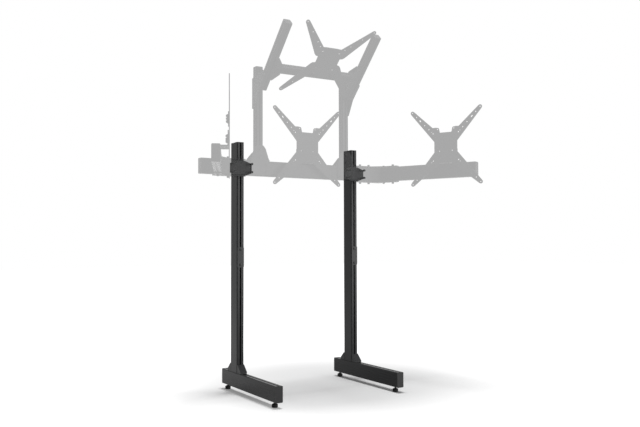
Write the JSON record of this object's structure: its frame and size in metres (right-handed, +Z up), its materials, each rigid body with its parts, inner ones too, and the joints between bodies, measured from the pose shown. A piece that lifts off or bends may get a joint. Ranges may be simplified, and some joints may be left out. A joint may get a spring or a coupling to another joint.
{
  "type": "freestanding monitor stand",
  "caption": "Freestanding monitor stand of slotted profile on two L-shaped legs: a height-adjustable beam with angled side arms, upright monitor plates and a tilting overhead frame.",
  "frame": {"origin": "on the floor, midway between the legs and in the middle of the whole depth", "axes": "+Z up, +X to the right of someone who looks at the monitors, -Y towards that person"},
  "size_m": [1.554, 0.8602, 1.9047],
  "materials": {
    "black_profile": "satin black anodised",
    "black_plate": "satin black powder coat",
    "black_plastic": "matte",
    "pad_rubber": "matte",
    "pale_profile": "satin pale grey",
    "pale_plate": "satin pale grey",
    "bolt_steel": "satin"
  },
  "bodies": {
    "legs": {"foot_left": "black_profile", "foot_right": "black_profile", "lower_post_left": "black_profile", "lower_post_right": "black_profile", "upper_post_left": "black_profile", "upper_post_right": "black_profile", "foot_cap_front_left": "black_plastic", "foot_cap_front_right": "black_plastic", "foot_cap_rear_left": "black_plastic", "foot_cap_rear_right": "black_plastic", "post_cap_left": "black_plastic", "post_cap_right": "black_plastic", "base_bracket_front_left": "black_profile", "base_bracket_front_right": "black_profile", "base_bracket_rear_left": "black_profile", "base_bracket_rear_right": "black_profile", "splice_plate_left": "black_plate", "splice_plate_right": "black_plate"},
    "beam": {"main_beam": "pale_profile", "beam_bracket_left": "black_plate", "beam_bracket_right": "black_plate", "hinge_plate_top_left": "pale_plate", "hinge_plate_top_right": "pale_plate", "hinge_plate_bottom_left": "pale_plate", "hinge_plate_bottom_right": "pale_plate", "upright_left": "pale_profile", "upright_right": "pale_profile", "face_plate_left": "pale_plate", "face_plate_right": "pale_plate", "upright_corner_inner_left": "pale_profile", "upright_corner_inner_right": "pale_profile", "upright_corner_outer_left": "pale_profile", "upright_corner_outer_right": "pale_profile", "tilt_plate_left": "pale_plate", "tilt_plate_right": "pale_plate"},
    "levelling_foot_front_left": {"levelling_foot_front_left": "pad_rubber"},
    "levelling_foot_rear_left": {"levelling_foot_rear_left": "pad_rubber"},
    "side_arm_left": {"side_arm_left": "pale_profile", "arm_pivot_bolt_left": "bolt_steel"},
    "monitor_mount_left": {"vesa_plate_left": "pale_plate", "carriage_left": "pale_plate"},
    "levelling_foot_front_right": {"levelling_foot_front_right": "pad_rubber"},
    "levelling_foot_rear_right": {"levelling_foot_rear_right": "pad_rubber"},
    "side_arm_right": {"side_arm_right": "pale_profile", "arm_pivot_bolt_right": "bolt_steel"},
    "monitor_mount_right": {"vesa_plate_right": "pale_plate", "carriage_right": "pale_plate"},
    "monitor_mount_centre": {"vesa_plate_centre": "pale_plate", "carriage_centre": "pale_plate"},
    "overhead_arms": {"leaning_arm_left": "pale_profile", "leaning_arm_right": "pale_profile", "tilt_pivot_bolt_left": "bolt_steel", "tilt_pivot_bolt_right": "bolt_steel"},
    "overhead_bar": {"crossbar": "pale_profile", "crossbar_corner_lower_left": "pale_profile", "crossbar_corner_lower_right": "pale_profile", "crossbar_corner_upper_left": "pale_profile", "crossbar_corner_upper_right": "pale_profile"},
    "monitor_mount_overhead": {"vesa_plate_overhead": "pale_plate", "carriage_overhead": "pale_plate"}
  },
  "joints": [
    {"name": "beam_height", "type": "slide", "parent": "legs", "child": "beam", "axis": [0, 0, 1], "range_m": [-0.37, 0.09]},
    {"name": "levelling_front_left", "type": "slide", "parent": "legs", "child": "levelling_foot_front_left", "axis": [0, 0, 1], "range_m": [-0.01, 0.006]},
    {"name": "levelling_rear_left", "type": "slide", "parent": "legs", "child": "levelling_foot_rear_left", "axis": [0, 0, 1], "range_m": [-0.01, 0.006]},
    {"name": "levelling_front_right", "type": "slide", "parent": "legs", "child": "levelling_foot_front_right", "axis": [0, 0, 1], "range_m": [-0.01, 0.006]},
    {"name": "levelling_rear_right", "type": "slide", "parent": "legs", "child": "levelling_foot_rear_right", "axis": [0, 0, 1], "range_m": [-0.01, 0.006]},
    {"name": "arm_swing_left", "type": "hinge", "parent": "beam", "child": "side_arm_left", "pos_m": [-0.52088, 0.16921, 1.1828], "axis": [0, 0, -1], "range_deg": [-7, 7]},
    {"name": "mount_slide_left", "type": "slide", "parent": "side_arm_left", "child": "monitor_mount_left", "axis": [-0.4147, -0.91, 0], "range_m": [-0.25, 0.085]},
    {"name": "arm_swing_right", "type": "hinge", "parent": "beam", "child": "side_arm_right", "pos_m": [0.52088, 0.16921, 1.1828], "axis": [0, 0, 1], "range_deg": [-7, 7]},
    {"name": "mount_slide_right", "type": "slide", "parent": "side_arm_right", "child": "monitor_mount_right", "axis": [0.4147, -0.91, 0], "range_m": [-0.25, 0.085]},
    {"name": "mount_slide_centre", "type": "slide", "parent": "beam", "child": "monitor_mount_centre", "axis": [1, 0, 0], "range_m": [-0.13, 0.13]},
    {"name": "overhead_tilt", "type": "hinge", "parent": "beam", "child": "overhead_arms", "pos_m": [0, 0.14815, 1.62358], "axis": [1, 0, 0], "range_deg": [-10, 10]},
    {"name": "overhead_bar_slide", "type": "slide", "parent": "overhead_arms", "child": "overhead_bar", "axis": [0, -0.7071, 0.7071], "range_m": [-0.05, 0.15]},
    {"name": "mount_slide_overhead", "type": "slide", "parent": "overhead_bar", "child": "monitor_mount_overhead", "axis": [1, 0, 0], "range_m": [-0.13, 0.13]}
  ]
}
